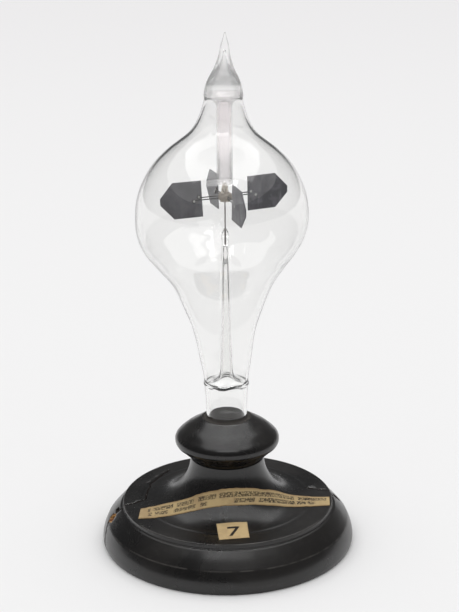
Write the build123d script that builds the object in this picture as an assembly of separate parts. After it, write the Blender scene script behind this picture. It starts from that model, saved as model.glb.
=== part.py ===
from build123d import *
import os

# Crookes radiometer: an evacuated glass bulb with a four-vane rotor on a needle point,
# set in a turned wooden stand. Millimetres, +Z up. The origin is the middle of the
# underside, where the stand meets the surface it rests on.

# Base disc
base_radius = 50.8
base_foot_radius = 50.2
base_widest_height = 1.9
base_arris_radius = 48.8
base_arris_height = 9.3
ovolo_top_radius = 43.3
ovolo_top_height = 15.3
ovolo_swell = 0.1
table_radius = 42.4
table_height = 17.3
table_edge_round = 0.5

# Pedestal with a tenon at each end
pedestal_foot_radius = 33.0
pedestal_foot_lip = 0.25
pedestal_neck_radius = 14.7
pedestal_height = 19.2
base_tenon_radius = 11.0
base_tenon_length = 11.8
knob_tenon_radius = 7.0
knob_tenon_length = 4.6
tenon_clearance = 0.05
tenon_end_gap = 0.2

# Knob that holds the neck of the bulb
knob_radius = 20.8
knob_widest_rise = 7.8
knob_rim_radius = 20.2
knob_rim_rise = 5.2
knob_height = 16.8
knob_mouth_radius = 9.4
knob_mouth_round = 0.5
knob_socket_depth = 9.6

# Glass neck below the lower seal
neck_radius = 8.1
neck_top_radius = 8.75
neck_wall = 1.2
neck_end_gap = 0.4
neck_straight_rise = 2.5
plaster_clearance = 0.02
plaster_collar_rise = 0.7
plaster_collar_edge = 0.1
lower_seal_height = 66.5
lower_seal_thickness = 1.5
lower_seal_bead = 0.25

# Bulb between the two seals
bulb_radius = 33.24
bulb_widest_height = 135.3
bulb_wall = 0.9
upper_seal_height = 181.5
upper_seal_radius = 7.3
upper_seal_thickness = 1.0
upper_seal_bead = 0.15

# Sealed tip above the upper seal
tip_height = 23.0
tip_cavity_height = 16.5
tip_round = 0.3
tip_cavity_round = 0.4

# Guide tube that keeps the rotor from jumping off its needle
guide_mouth_height = 148.2
guide_radius = 3.1
guide_wall = 0.95
guide_flare_height = 4.5

# Stem and needle
stem_foot_radius = 2.3
stem_top_radius = 1.3
stem_wall = 0.7
stem_flare_height = 7.5
stem_hollow_top = 122.5
knuckle_height = 118.7
knuckle_swell = 0.25
knuckle_length = 6.0
bead_bottom_height = 124.8
bead_top_height = 130.6
bead_radius = 1.45
bead_lip = 0.15
needle_radius = 0.25
needle_point_length = 3.4
needle_point_radius = 0.04
needle_tip_height = 147.3
needle_grip_length = 6.5
needle_clearance = 0.02

# Pivot cap and hub collar
cap_bottom_height = 141.3
cap_top_height = 148.6
cap_mouth_radius = 1.95
cap_crown_radius = 1.0
cap_crown_rise = 0.4
cap_bore_radius = 1.2
cap_seat_radius = 0.35
cap_seat_depth = 0.4
pivot_clearance = 0.08
hub_centre_height = 143.2
hub_radius = 2.7
hub_height = 3.0
hub_edge_round = 0.5
hub_clearance = 0.02

# Arms: two wires each, ending in flat eyes
arm_wire_radius = 0.22
arm_wire_spacing = 0.9
arm_root_reach = 2.15
eye_radius = 0.55
eye_offset = 0.75
inner_eye_reach = 10.4
outer_eye_reach = 12.4

# Vanes, each a metal plate faced with mica on one side
vane_count = 4
rotor_turn = 17.3
vane_inner_reach = 9.1
vane_shoulder_reach = 20.3
vane_outer_reach = 25.4
vane_height = 13.8
vane_tip_height = 2.5
vane_thickness = 0.2
mica_thickness = 0.12
mica_margin = 0.2
# How far each hand-bent arm is out of true: turn, rise and twist in degrees
arm_bends = ((0.7, 2.0, 4.0), (-0.6, -2.1, 0.0), (-0.3, -1.0, 6.8), (0.3, -1.2, -0.7))

# Tube rivets through the eyes, the plate and the mica
rivet_radius = 0.28
rivet_bore_radius = 0.14
rivet_head_radius = 0.5
rivet_head_thickness = 0.1
rivet_clearance = 0.02

# Paper labels
paper_thickness = 0.15
paper_foot_margin = 0.5
strip_back_edge = ((-34.8, -10.3), (-27.6, -8.6), (-14.0, -13.4), (-3.0, -16.3), (4.8, -15.7),
                   (13.2, -11.8), (21.4, -4.6), (28.0, -1.2), (41.3, -0.7))
strip_front_edge = ((41.0, -8.6), (30.0, -10.2), (21.1, -13.6), (12.9, -17.2), (4.8, -19.7),
                    (-3.3, -20.2), (-11.4, -19.4), (-21.0, -18.3), (-35.3, -19.3))
number_corners = ((-4.4, -26.9), (7.6, -25.8), (8.4, -36.3), (-3.3, -38.1))

# Places that follow from the sizes above
pedestal_top = table_height + pedestal_height
knob_top = pedestal_top + knob_height
socket_floor = knob_top - knob_socket_depth
neck_end = socket_floor + neck_end_gap
neck_straight_top = knob_top + neck_straight_rise
lower_seal_top = lower_seal_height + lower_seal_thickness
upper_seal_top = upper_seal_height + upper_seal_thickness
stem_flare_top = lower_seal_height + stem_flare_height
guide_flare_bottom = upper_seal_height - guide_flare_height
eye_face = vane_thickness / 2 + arm_wire_radius
upwards = (0, 0, 1)
outwards = (1, 0, 0)
standing_on = (Align.CENTER, Align.CENTER, Align.MIN)
hanging_from = (Align.CENTER, Align.CENTER, Align.MAX)


# A point of a half section: distance from the axis, and height
def at(radius, height):
    return Vector(radius, 0, height)


# A straight chain of edges
def chain(*points):
    return [Line(a, b) for a, b in zip(points, points[1:])]


# A solid turned about the axis from the edges of its half section
def turned(*edges):
    return revolve(make_face(Wire(edges)), Axis.Z)


# A smooth edge from start to end through stages: share of the rise, share of the change in radius
def contour(start, end, stages, tangents=(upwards, upwards)):
    change = end - start
    points = [at(start.X + change.X * spread, start.Z + change.Z * rise) for rise, spread in stages]
    return Spline(start, *points, end, tangents=tangents)


# The inner face of a wall whose outer face runs upwards
def inner_face(outer, wall, stages):
    points = []
    for stage in range(stages + 1):
        place = outer @ (stage / stages)
        way = outer % (stage / stages)
        points.append(at(place.X - wall * way.Z, place.Z + wall * way.X))
    return Spline(*points, tangents=(outer % 0, outer % 1))


# The bead of glass where two walls and an inner tube are fused, as the outer edge of a ring
def bead_edge(radius, low, high, swell):
    return ThreePointArc(at(radius, low), at(radius + swell, (low + high) / 2), at(radius, high))


# The hole that a tenon fits, with its clearance and end gap
def mortise_for(radius, length, align):
    return Cylinder(radius + tenon_clearance, length + tenon_end_gap, align=align)


def base_disc():
    widest = at(base_radius, base_widest_height)
    arris = at(base_arris_radius, base_arris_height)
    ovolo_end = at(ovolo_top_radius, ovolo_top_height)
    edge_start = at(table_radius, table_height - table_edge_round)
    edge_end = at(table_radius - table_edge_round, table_height)
    middle = (arris + ovolo_end) * 0.5 + at(ovolo_swell, ovolo_swell)
    body = turned(
        Spline(at(base_foot_radius, 0), widest, tangents=((0.6, 0, 1), upwards)),
        Spline(widest, arris, tangents=(upwards, (-0.46, 0, 1))),
        ThreePointArc(arris, middle, ovolo_end),
        *chain(ovolo_end, at(table_radius, ovolo_top_height), edge_start),
        TangentArc(edge_start, edge_end, tangent=upwards),
        *chain(edge_end, at(0, table_height), at(0, 0), at(base_foot_radius, 0)),
    )
    mortise = mortise_for(base_tenon_radius, base_tenon_length, hanging_from)
    return body - Pos(0, 0, table_height) * mortise


# The hollow sweep of the pedestal, a quarter ellipse, or the same sweep one paper thickness proud
def sweep_edge(lift):
    section = Plane(origin=at(pedestal_foot_radius, pedestal_top), x_dir=(1, 0, 0), z_dir=(0, -1, 0))
    across = pedestal_foot_radius - pedestal_neck_radius - lift
    rise = pedestal_height - pedestal_foot_lip - lift
    return section.from_local_coords(EllipticalCenterArc((0, 0), across, rise, start_angle=180, arc_size=90))


def pedestal():
    foot = at(pedestal_foot_radius, table_height)
    body = turned(
        sweep_edge(0),
        *chain(at(pedestal_neck_radius, pedestal_top), at(0, pedestal_top), at(0, table_height), foot,
               foot + at(0, pedestal_foot_lip)),
    )
    base_tenon = Pos(0, 0, table_height) * Cylinder(base_tenon_radius, base_tenon_length, align=hanging_from)
    knob_tenon = Pos(0, 0, pedestal_top) * Cylinder(knob_tenon_radius, knob_tenon_length, align=standing_on)
    return body + base_tenon + knob_tenon


def socket_knob():
    seat = at(pedestal_neck_radius, pedestal_top)
    rim = at(knob_rim_radius, pedestal_top + knob_rim_rise)
    widest = at(knob_radius, pedestal_top + knob_widest_rise)
    mouth = at(knob_mouth_radius + knob_mouth_round, knob_top)
    lip = at(knob_mouth_radius, knob_top - knob_mouth_round)
    shoulder = contour(widest, mouth, ((0.19, 0.083), (0.356, 0.22), (0.522, 0.376), (0.70, 0.595)),
                       (upwards, (-1, 0, 0.47)))
    body = turned(
        Spline(seat, rim, tangents=(upwards, (1, 0, 0.75))),
        ThreePointArc(rim, at((2 * knob_radius + knob_rim_radius) / 3, (rim.Z + widest.Z) / 2), widest),
        shoulder,
        TangentArc(mouth, lip, tangent=(-1, 0, 0)),
        *chain(lip, at(knob_mouth_radius, socket_floor), at(0, socket_floor), at(0, pedestal_top), seat),
    )
    mortise = mortise_for(knob_tenon_radius, knob_tenon_length, standing_on)
    return body - Pos(0, 0, pedestal_top) * mortise


# The glass neck, straight in its plaster and widening to the seal
def neck_tube():
    foot = at(neck_radius, neck_end)
    bend = at(neck_radius, neck_straight_top)
    head = at(neck_top_radius, lower_seal_height)
    flare = Spline(bend, at(neck_radius + 0.3 * (neck_top_radius - neck_radius), (bend.Z + head.Z) / 2), head,
                   tangents=(upwards, (0.12, 0, 1)))
    across = at(neck_wall, 0)
    inner_flare = Spline(flare @ 0 - across, flare @ 0.5 - across, flare @ 1 - across,
                         tangents=(upwards, (0.12, 0, 1)))
    return turned(
        Line(foot, bend),
        flare,
        Line(head, head - across),
        inner_flare,
        *chain(bend - across, foot - across, foot),
    )


# Plaster between the glass neck and the bore of the knob, drawn up the glass in a thin collar
def socket_plaster():
    inside = neck_radius + plaster_clearance
    outside = knob_mouth_radius - plaster_clearance
    shoulder = at(outside, knob_top - knob_mouth_round)
    collar = at(inside + plaster_collar_edge, knob_top + plaster_collar_rise)
    return turned(
        *chain(shoulder, at(outside, socket_floor), at(inside, socket_floor), at(inside, collar.Z), collar),
        Spline(collar, shoulder, tangents=((0.2, 0, -1), (1, 0, -0.2))),
    )


# Outer face of the bulb in two sweeps that meet at its widest place
def bulb_outline():
    lower = contour(
        at(neck_top_radius, lower_seal_top),
        at(bulb_radius, bulb_widest_height),
        ((0.149, 0.060), (0.327, 0.148), (0.461, 0.276), (0.594, 0.428), (0.728, 0.690), (0.817, 0.867),
         (0.906, 0.969)),
    )
    upper = contour(
        at(bulb_radius, bulb_widest_height),
        at(upper_seal_radius, upper_seal_height),
        ((0.188, 0.041), (0.318, 0.131), (0.448, 0.276), (0.578, 0.509), (0.643, 0.659), (0.708, 0.793),
         (0.773, 0.875), (0.885, 0.955)),
    )
    return lower, upper


def bulb_envelope():
    lower, upper = bulb_outline()
    inner_lower = inner_face(lower, bulb_wall, 24)
    inner_upper = inner_face(upper, bulb_wall, 24)
    return turned(
        lower,
        upper,
        Line(upper @ 1, inner_upper @ 1),
        inner_upper,
        inner_lower,
        Line(inner_lower @ 0, lower @ 0),
    )


# The drawn-off tip: solid glass at its end, with the last of the cavity below
def seal_tip():
    foot = at(upper_seal_radius, upper_seal_top)
    cavity_foot = at(upper_seal_radius - bulb_wall, upper_seal_top)
    tip = at(0, upper_seal_top + tip_height)
    tip_side = at(tip_round, tip.Z - tip_round)
    cavity_top = at(0, upper_seal_top + tip_cavity_height)
    cavity_side = at(tip_cavity_round, cavity_top.Z - tip_cavity_round)
    outer = contour(
        foot,
        tip_side,
        ((0.154, 0.083), (0.286, 0.256), (0.396, 0.457), (0.529, 0.623), (0.661, 0.746), (0.793, 0.816),
         (0.925, 0.934)),
        (upwards, (-0.3, 0, 1)),
    )
    cavity = contour(
        cavity_foot,
        cavity_side,
        ((0.217, 0.058), (0.404, 0.417), (0.559, 0.70), (0.714, 0.867)),
        (upwards, (-0.05, 0, 1)),
    )
    return turned(
        outer,
        TangentArc(tip, tip_side, tangent=outwards),
        Line(tip, cavity_top),
        TangentArc(cavity_top, cavity_side, tangent=outwards),
        cavity,
        Line(cavity_foot, foot),
    )


# The straight guide tube, flared at its head and fused into the upper seal
def guide_tube():
    reach = upper_seal_radius - bulb_wall
    bore = guide_radius - guide_wall
    outer_bend = at(guide_radius, guide_flare_bottom)
    inner_bend = at(bore, guide_flare_bottom)
    return turned(
        *chain(inner_bend, at(bore, guide_mouth_height), at(guide_radius, guide_mouth_height), outer_bend),
        Spline(outer_bend, at(reach, upper_seal_height), tangents=(upwards, (1, 0, 0.1))),
        Line(at(reach, upper_seal_height), at(upper_seal_radius, upper_seal_height)),
        bead_edge(upper_seal_radius, upper_seal_height, upper_seal_top, upper_seal_bead),
        Line(at(upper_seal_radius, upper_seal_top), at(reach, upper_seal_top)),
        Spline(at(reach, upper_seal_top), inner_bend, tangents=((-1, 0, -0.1), (0, 0, -1))),
    )


# The stem: a flared foot fused to the neck, a tapered shank, a knuckle and the bead around the needle
def needle_stem():
    reach = neck_top_radius - neck_wall
    seal_inside = at(reach, lower_seal_top)
    shank_foot = at(stem_foot_radius, stem_flare_top)
    knuckle_low = at(stem_top_radius, knuckle_height - knuckle_length / 2)
    knuckle_high = at(stem_top_radius, knuckle_height + knuckle_length / 2)
    bead_foot = at(stem_top_radius, bead_bottom_height)
    bead_head = at(needle_radius + bead_lip, bead_top_height)
    flare_bend = at(1.75 * stem_foot_radius, lower_seal_top + 0.16 * stem_flare_height)
    shank_middle = at(0.55 * stem_foot_radius + 0.3 * stem_top_radius, (shank_foot.Z + knuckle_low.Z) / 2)
    outside = [
        Line(at(neck_top_radius, lower_seal_top), seal_inside),
        Spline(seal_inside, flare_bend, shank_foot, tangents=((-1, 0, 0.02), (-0.05, 0, 1))),
        Spline(shank_foot, shank_middle, knuckle_low, tangents=((-0.05, 0, 1), upwards)),
        Spline(knuckle_low, at(stem_top_radius + knuckle_swell, knuckle_height), knuckle_high,
               tangents=(upwards, upwards)),
        Line(knuckle_high, bead_foot),
        Spline(bead_foot, at(bead_radius, (bead_bottom_height + bead_top_height) / 2), bead_head,
               tangents=(upwards, (-0.5, 0, 1))),
    ]
    bore = needle_radius + needle_clearance
    grip_bottom = bead_top_height - needle_grip_length
    needle_hole = chain(bead_head, at(bore, bead_top_height), at(bore, grip_bottom), at(0, grip_bottom),
                        at(0, stem_hollow_top))
    hollow_radius = stem_top_radius - stem_wall
    hollow_shoulder = at(hollow_radius, stem_hollow_top - hollow_radius)
    hollow_foot = at(stem_foot_radius - stem_wall, stem_flare_top)
    inside = [
        TangentArc(at(0, stem_hollow_top), hollow_shoulder, tangent=outwards),
        Line(hollow_shoulder, hollow_foot),
        Spline(hollow_foot, at(1.45 * stem_foot_radius, lower_seal_height + 0.2 * stem_flare_height),
               at(reach, lower_seal_height), tangents=((0.02, 0, -1), (1, 0, -0.02))),
    ]
    return turned(
        *outside,
        *needle_hole,
        *inside,
        Line(at(reach, lower_seal_height), at(neck_top_radius, lower_seal_height)),
        bead_edge(neck_top_radius, lower_seal_height, lower_seal_top, lower_seal_bead),
    )


# The steel needle, gripped by the glass bead and ground to a point
def needle():
    point_start = needle_tip_height - needle_point_length
    return turned(*chain(
        at(0, bead_top_height - needle_grip_length),
        at(needle_radius, bead_top_height - needle_grip_length),
        at(needle_radius, point_start),
        at(needle_point_radius, needle_tip_height),
        at(0, needle_tip_height),
        at(0, bead_top_height - needle_grip_length),
    ))


# Outer face of the glass cap, from its mouth up to the crown
def cap_outline(lift):
    mouth = at(cap_mouth_radius + lift, cap_bottom_height)
    shoulder = at(cap_crown_radius + lift, cap_top_height - cap_crown_rise)
    crown = at(0, cap_top_height + lift)
    side = contour(mouth, shoulder, ((0.35, 0.3), (0.7, 0.72)), ((0, 0, 1), (-0.1, 0, 1)))
    return side, Spline(shoulder, crown, tangents=((-0.1, 0, 1), (-1, 0, 0)))


# The glass cap that turns on the needle point
def pivot_cap():
    side, crown = cap_outline(0)
    seat = at(0, needle_tip_height + pivot_clearance)
    mouth = at(cap_bore_radius, cap_bottom_height)
    shoulder = at(cap_seat_radius, needle_tip_height - cap_seat_depth)
    bore = Spline(seat, shoulder, mouth, tangents=((1, 0, 0), (0, 0, -1)))
    return turned(side, crown, Line(crown @ 1, seat), bore, Line(mouth, side @ 0))


# Turns a piece built along +X, about the middle of the hub, to its place on one of the arms
def on_arm(index):
    turn, rise, twist = arm_bends[index % len(arm_bends)]
    around = Rot(0, 0, rotor_turn + index * 360 / vane_count + turn)
    return Pos(0, 0, hub_centre_height) * around * Rot(0, -rise, 0) * Rot(twist, 0, 0)


# A round bar along +X or +Y between two stations
def bar_x(radius, start, end):
    return Pos(start, 0, 0) * Rot(0, 90, 0) * Cylinder(radius, end - start, align=standing_on)


def bar_y(radius, start, end):
    return Pos(0, start, 0) * Rot(-90, 0, 0) * Cylinder(radius, end - start, align=standing_on)


# Places of the two eyes of an arm: reach, height and height of their wire
def eye_places():
    half = arm_wire_spacing / 2
    return (inner_eye_reach, eye_offset, half), (outer_eye_reach, -eye_offset, -half)


# The collar around the cap, with a socket for each wire
def hub_collar():
    low = hub_centre_height - hub_height / 2
    body = Pos(0, 0, low) * Cylinder(hub_radius, hub_height, align=standing_on)
    body = fillet(body.edges().filter_by(GeomType.CIRCLE), hub_edge_round)
    side, crown = cap_outline(hub_clearance)
    body -= turned(side, crown, *chain(crown @ 1, at(0, cap_bottom_height), side @ 0))
    for index in range(vane_count):
        for _, _, height in eye_places():
            socket = bar_x(arm_wire_radius + hub_clearance, arm_root_reach - hub_clearance, 2 * hub_radius)
            body -= on_arm(index) * Pos(0, eye_face, height) * socket
    return body


# Two straight wires, each flattened into an eye that lies against the vane
def arm(index):
    pieces = []
    for reach, height, wire_height in eye_places():
        wire = Pos(0, 0, wire_height) * bar_x(arm_wire_radius, arm_root_reach, reach - 0.8 * eye_radius)
        eye = Pos(reach, 0, height) * Rot(90, 0, 0) * Torus(eye_radius, arm_wire_radius)
        pieces.append(on_arm(index) * Pos(0, eye_face, 0) * (wire + eye))
    return pieces


# A six-sided plate from one station to another across the arm, smaller by a margin all round
def vane_plate(margin, near, far):
    high = vane_height / 2 - margin
    tip = vane_tip_height / 2 - margin / 2
    outline = [(vane_inner_reach + margin, high), (vane_shoulder_reach - margin / 2, high),
               (vane_outer_reach - margin, tip)]
    outline += [(reach, -height) for reach, height in reversed(outline)]
    face = make_face(Polyline([(reach, near, height) for reach, height in outline], close=True))
    plate = extrude(face, amount=far - near, dir=(0, 1, 0))
    for reach, height, _ in eye_places():
        plate -= Pos(reach, 0, height) * bar_y(rivet_radius + rivet_clearance, near, far)
    return plate


def vane(index):
    return on_arm(index) * vane_plate(0, -vane_thickness / 2, vane_thickness / 2)


def mica(index):
    back = -vane_thickness / 2
    return on_arm(index) * vane_plate(mica_margin, back - mica_thickness, back)


# Hollow rivets with a flat head on each side
def eyelets(index):
    mica_face = -vane_thickness / 2 - mica_thickness
    eye_top = vane_thickness / 2 + 2 * arm_wire_radius
    rivet = bar_y(rivet_radius, mica_face, eye_top)
    rivet += bar_y(rivet_head_radius, mica_face - rivet_head_thickness, mica_face)
    rivet += bar_y(rivet_head_radius, eye_top, eye_top + rivet_head_thickness)
    rivet -= bar_y(rivet_bore_radius, mica_face - rivet_head_thickness, eye_top + rivet_head_thickness)
    return [on_arm(index) * Pos(reach, 0, height) * rivet for reach, height, _ in eye_places()]


# A skin of paper over the table and the sweep of the pedestal, all the way round
def paper_skin():
    low = sweep_edge(0)
    high = sweep_edge(paper_thickness)
    lip = table_height + pedestal_foot_lip
    outside = table_radius - table_edge_round
    crease = pedestal_foot_radius + paper_foot_margin
    return turned(
        low,
        Line(low @ 0, high @ 0),
        high,
        *chain(high @ 1, at(crease, table_height + paper_thickness),
               at(outside, table_height + paper_thickness), at(outside, table_height),
               at(crease, table_height), at(pedestal_foot_radius, lip)),
    )


# The part of the paper skin inside an outline seen from above
def paper_piece(*edges):
    outline = make_face(Wire(edges))
    return paper_skin() & (Pos(0, 0, table_height - 1) * extrude(outline, pedestal_height))


def caption_strip():
    back = Spline(*strip_back_edge)
    front = Spline(*strip_front_edge)
    return paper_piece(back, Line(back @ 1, front @ 0), front, Line(front @ 1, back @ 0))


def number_label():
    corners = [Vector(x, y) for x, y in number_corners]
    return paper_piece(*chain(*corners, corners[0]))


# Writes one named file for a piece or a set of separate solids
def write(name, piece):
    solids = piece if isinstance(piece, list) else piece.solids()
    model = solids[0] if len(solids) == 1 else Compound(children=list(solids))
    export_step(model, f"parts/{name}.step")


os.makedirs("parts", exist_ok=True)
for maker in (base_disc, pedestal, socket_knob, socket_plaster, caption_strip, number_label, neck_tube,
              bulb_envelope, seal_tip, guide_tube, needle_stem, needle, pivot_cap, hub_collar):
    write(maker.__name__, maker())
for index in range(vane_count):
    for maker in (arm, vane, mica, eyelets):
        write(f"{maker.__name__}_{index + 1}", maker(index))
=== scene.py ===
import math

import bmesh
import bpy
from mathutils import Matrix, Vector, noise
from mathutils.geometry import interpolate_bezier


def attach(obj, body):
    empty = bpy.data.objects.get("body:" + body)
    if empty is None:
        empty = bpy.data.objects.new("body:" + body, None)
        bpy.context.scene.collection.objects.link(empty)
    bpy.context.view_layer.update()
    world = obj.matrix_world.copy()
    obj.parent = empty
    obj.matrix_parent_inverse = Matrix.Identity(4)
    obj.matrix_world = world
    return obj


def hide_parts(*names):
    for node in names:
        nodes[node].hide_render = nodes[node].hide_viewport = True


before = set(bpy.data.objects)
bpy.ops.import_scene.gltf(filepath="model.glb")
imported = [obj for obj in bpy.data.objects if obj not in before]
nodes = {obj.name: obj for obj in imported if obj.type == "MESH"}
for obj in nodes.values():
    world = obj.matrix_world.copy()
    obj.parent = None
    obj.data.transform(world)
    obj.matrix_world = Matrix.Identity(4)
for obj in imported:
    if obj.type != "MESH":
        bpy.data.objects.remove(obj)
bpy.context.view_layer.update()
scene = bpy.context.scene
mm = 0.001
standBody = "stand_and_bulb"
rotorBody = "vane_rotor"
noiseSeed = 7
noise.seed_set(noiseSeed)  # noise_vector starts from the clock without it
print("frame loaded:", len(nodes), "nodes")


# Camera, floor and light

studio = {
    "cameraPlace": (0.0014, -0.580, 0.2916),
    "cameraPitch": -18.36,
    "cameraRoll": -0.473,
    "lens": 92.206,
    "sensor": 36,
    "floorSize": 14.0,
    # Painted light: the floor colour is lighter near the object and darker far off, as the light falls off
    # away from the lamps
    "floorNearLit": (0.842, 0.838, 0.838, 1),
    "floorFarDim": (0.782, 0.772, 0.776, 1),
    "floorLightFalloff": (0.0, 1.9),
    "worldColour": (0.96, 0.98, 1.0, 1),
    "worldStrength": 0.11,
    "softBoxSize": (1.10, 1.13),
    "softBoxPlace": (0.0, 0.235, 0.85),
    "softBoxPower": 5.8,
    "stripSize": (0.56, 0.16),
    "stripPlace": (0.0, -0.44, 0.85),
    "stripPower": 0.8,
    "roomLightStrength": 3.05,
    "roomLightSpread": 120,
}


def placeCamera():
    camera = bpy.data.objects.new("photoCamera", bpy.data.cameras.new("photoCamera"))
    pitch = Matrix.Rotation(math.radians(90 + studio["cameraPitch"]), 4, "X")
    roll = Matrix.Rotation(math.radians(studio["cameraRoll"]), 4, "Z")
    camera.matrix_world = Matrix.Translation(studio["cameraPlace"]) @ pitch @ roll
    camera.data.sensor_width = studio["sensor"]
    camera.data.lens = studio["lens"]
    scene.collection.objects.link(camera)
    scene.camera = camera


def addLight(name, kind, place, power, **settings):
    lamp = bpy.data.lights.new(name, kind)
    lamp.energy = power
    for label, value in settings.items():
        setattr(lamp, label, value)
    light = bpy.data.objects.new(name, lamp)
    light.location = place
    scene.collection.objects.link(light)
    return light


def lightStudio():
    for name in ("softBox", "strip"):
        width, depth = studio[name + "Size"]
        box = addLight(name, "AREA", studio[name + "Place"], studio[name + "Power"],
                       shape="RECTANGLE", size=width, size_y=depth)
        box.visible_diffuse = False  # only the polish and the glass mirror it
    room = addLight("roomLight", "SUN", (0, 0, 2), studio["roomLightStrength"],
                    angle=math.radians(studio["roomLightSpread"]))
    room.visible_glossy = False
    world = bpy.data.worlds.new("studioWorld")
    world.use_nodes = True
    sky = world.node_tree.nodes["Background"]
    sky.inputs["Color"].default_value = studio["worldColour"]
    sky.inputs["Strength"].default_value = studio["worldStrength"]
    scene.world = world
    scene.view_settings.view_transform = "Standard"


# Node helpers

def addNode(tree, kind, inputs=None, **settings):
    node = tree.nodes.new("ShaderNode" + kind)
    for label, value in settings.items():
        setattr(node, label, value)
    for label, value in (inputs or {}).items():
        if isinstance(value, bpy.types.NodeSocket):
            tree.links.new(value, node.inputs[label])
        else:
            node.inputs[label].default_value = value
    return node


def maths(tree, operation, first, second=0.0, clamp=False):
    return addNode(tree, "Math", {0: first, 1: second}, operation=operation, use_clamp=clamp).outputs[0]


def ramp(tree, value, low, high, start=0.0, end=1.0):
    inputs = {"Value": value, "From Min": low, "From Max": high, "To Min": start, "To Max": end}
    return addNode(tree, "MapRange", inputs, interpolation_type="SMOOTHSTEP").outputs["Result"]


def reachOf(tree, first, second):
    # The length of two measures that stand square to each other
    squares = [maths(tree, "MULTIPLY", measure, measure) for measure in (first, second)]
    return maths(tree, "SQRT", maths(tree, "ADD", *squares))


def awayFrom(tree, value, middle):
    return maths(tree, "ABSOLUTE", maths(tree, "SUBTRACT", value, middle))


def blendColour(tree, share, under, over):
    return addNode(tree, "Mix", {0: share, 6: under, 7: over}, data_type="RGBA").outputs[2]


def cloud(tree, coords, scale, detail=4.0, rough=0.55, twist=0.0):
    inputs = {"Vector": coords, "Scale": scale, "Detail": detail, "Roughness": rough, "Distortion": twist}
    return addNode(tree, "TexNoise", inputs).outputs["Fac"]


def stretched(tree, coords, scale, turn=(0, 0, 0), place=(0, 0, 0)):
    inputs = {"Vector": coords, "Location": place, "Rotation": turn, "Scale": scale}
    return addNode(tree, "Mapping", inputs).outputs["Vector"]


def bump(tree, height, strength, distance):
    inputs = {"Height": height, "Strength": strength, "Distance": distance}
    return addNode(tree, "Bump", inputs).outputs["Normal"]


def newGroup(name, inputs, outputs):
    group = bpy.data.node_groups.new(name, "ShaderNodeTree")
    for label, value in inputs.items():
        socket = group.interface.new_socket(name=label, in_out="INPUT", socket_type="NodeSocketFloat")
        socket.default_value = value
    for label in outputs:
        group.interface.new_socket(name=label, in_out="OUTPUT", socket_type="NodeSocketFloat")
    return group, group.nodes.new("NodeGroupInput").outputs, group.nodes.new("NodeGroupOutput").inputs


def useGroup(tree, group, inputs=None):
    return addNode(tree, "Group", inputs, node_tree=group).outputs


def makeMaterial(name, plain, finish):
    material = bpy.data.materials.new(name)
    material.use_nodes = True
    tree = material.node_tree
    skin = tree.nodes["Principled BSDF"]
    for label, value in plain.items():
        skin.inputs[label].default_value = value
    coords = addNode(tree, "TexCoord").outputs["Object"]
    for label, socket in finish(tree, coords).items():
        tree.links.new(socket, skin.inputs[label])
    return material


# Effects that several materials share

def makeTurnedEdge():
    # Rubbed through along a turned edge, given by its radius and height
    group, given, out = newGroup("turnedEdge", {"Radius": 0.05, "Height": 0.01, "Width": 0.0006}, ["Mask"])
    coords = addNode(group, "TexCoord").outputs["Object"]
    parts = addNode(group, "SeparateXYZ", {0: coords}).outputs
    across = maths(group, "SUBTRACT", reachOf(group, parts["X"], parts["Y"]), given["Radius"])
    along = maths(group, "SUBTRACT", parts["Z"], given["Height"])
    gap = reachOf(group, across, along)
    near = maths(group, "SUBTRACT", 1.0, maths(group, "DIVIDE", gap, given["Width"]), clamp=True)
    rub = ramp(group, cloud(group, coords, 160, 5), 0.35, 0.62)
    group.links.new(maths(group, "MULTIPLY", near, rub), out["Mask"])
    return group


def makeSettledDust():
    group, given, out = newGroup("settledDust", {"Amount": 0.5, "Scale": 300.0}, ["Mask"])
    coords = addNode(group, "TexCoord").outputs["Object"]
    normal = addNode(group, "NewGeometry").outputs["Normal"]
    upward = ramp(group, addNode(group, "SeparateXYZ", {0: normal}).outputs["Z"], 0.2, 0.95)
    patches = ramp(group, cloud(group, coords, 45, 3), 0.38, 0.72)
    specks = ramp(group, cloud(group, coords, given["Scale"], 6, 0.7), 0.50, 0.72)
    settled = maths(group, "ADD", maths(group, "MULTIPLY", patches, 0.4), specks)
    share = maths(group, "MULTIPLY", upward, settled)
    group.links.new(maths(group, "MULTIPLY", share, given["Amount"], clamp=True), out["Mask"])
    return group


def makeFineScratches():
    # Three crossing sets of thin broken lines
    group, given, out = newGroup("fineScratches", {"Density": 0.5}, ["Mask"])
    coords = addNode(group, "TexCoord").outputs["Object"]
    total = None
    for turn, size in ((0.5, (45, 1500, 60)), (2.0, (1300, 40, 60)), (1.1, (60, 2100, 90))):
        lines = cloud(group, stretched(group, coords, size, (0, 0, turn)), 1.0, 2, 0.5)
        thin = ramp(group, awayFrom(group, lines, 0.5), 0.018, 0.0)
        kept = ramp(group, cloud(group, coords, 55 + 30 * turn, 2), 0.52, 0.66)
        layer = maths(group, "MULTIPLY", thin, kept)
        total = layer if total is None else maths(group, "MAXIMUM", total, layer)
    group.links.new(maths(group, "MULTIPLY", total, given["Density"], clamp=True), out["Mask"])
    return group


def makeHandling():
    # Slow changes of sheen from handling, and small bruises
    group, given, out = newGroup("handling", {"Scale": 30.0}, ["Sheen", "Bruises"])
    coords = addNode(group, "TexCoord").outputs["Object"]
    wide = cloud(group, coords, given["Scale"], 5, 0.6, 0.4)
    group.links.new(ramp(group, wide, 0.30, 0.70), out["Sheen"])
    cells = addNode(group, "TexVoronoi", {"Vector": coords, "Scale": 240}).outputs["Distance"]
    few = ramp(group, cloud(group, coords, 90, 2), 0.56, 0.66)
    group.links.new(maths(group, "MULTIPLY", ramp(group, cells, 0.30, 0.10), few), out["Bruises"])
    return group


turnedEdge = makeTurnedEdge()
settledDust = makeSettledDust()
fineScratches = makeFineScratches()
handling = makeHandling()


# Finishes

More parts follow.
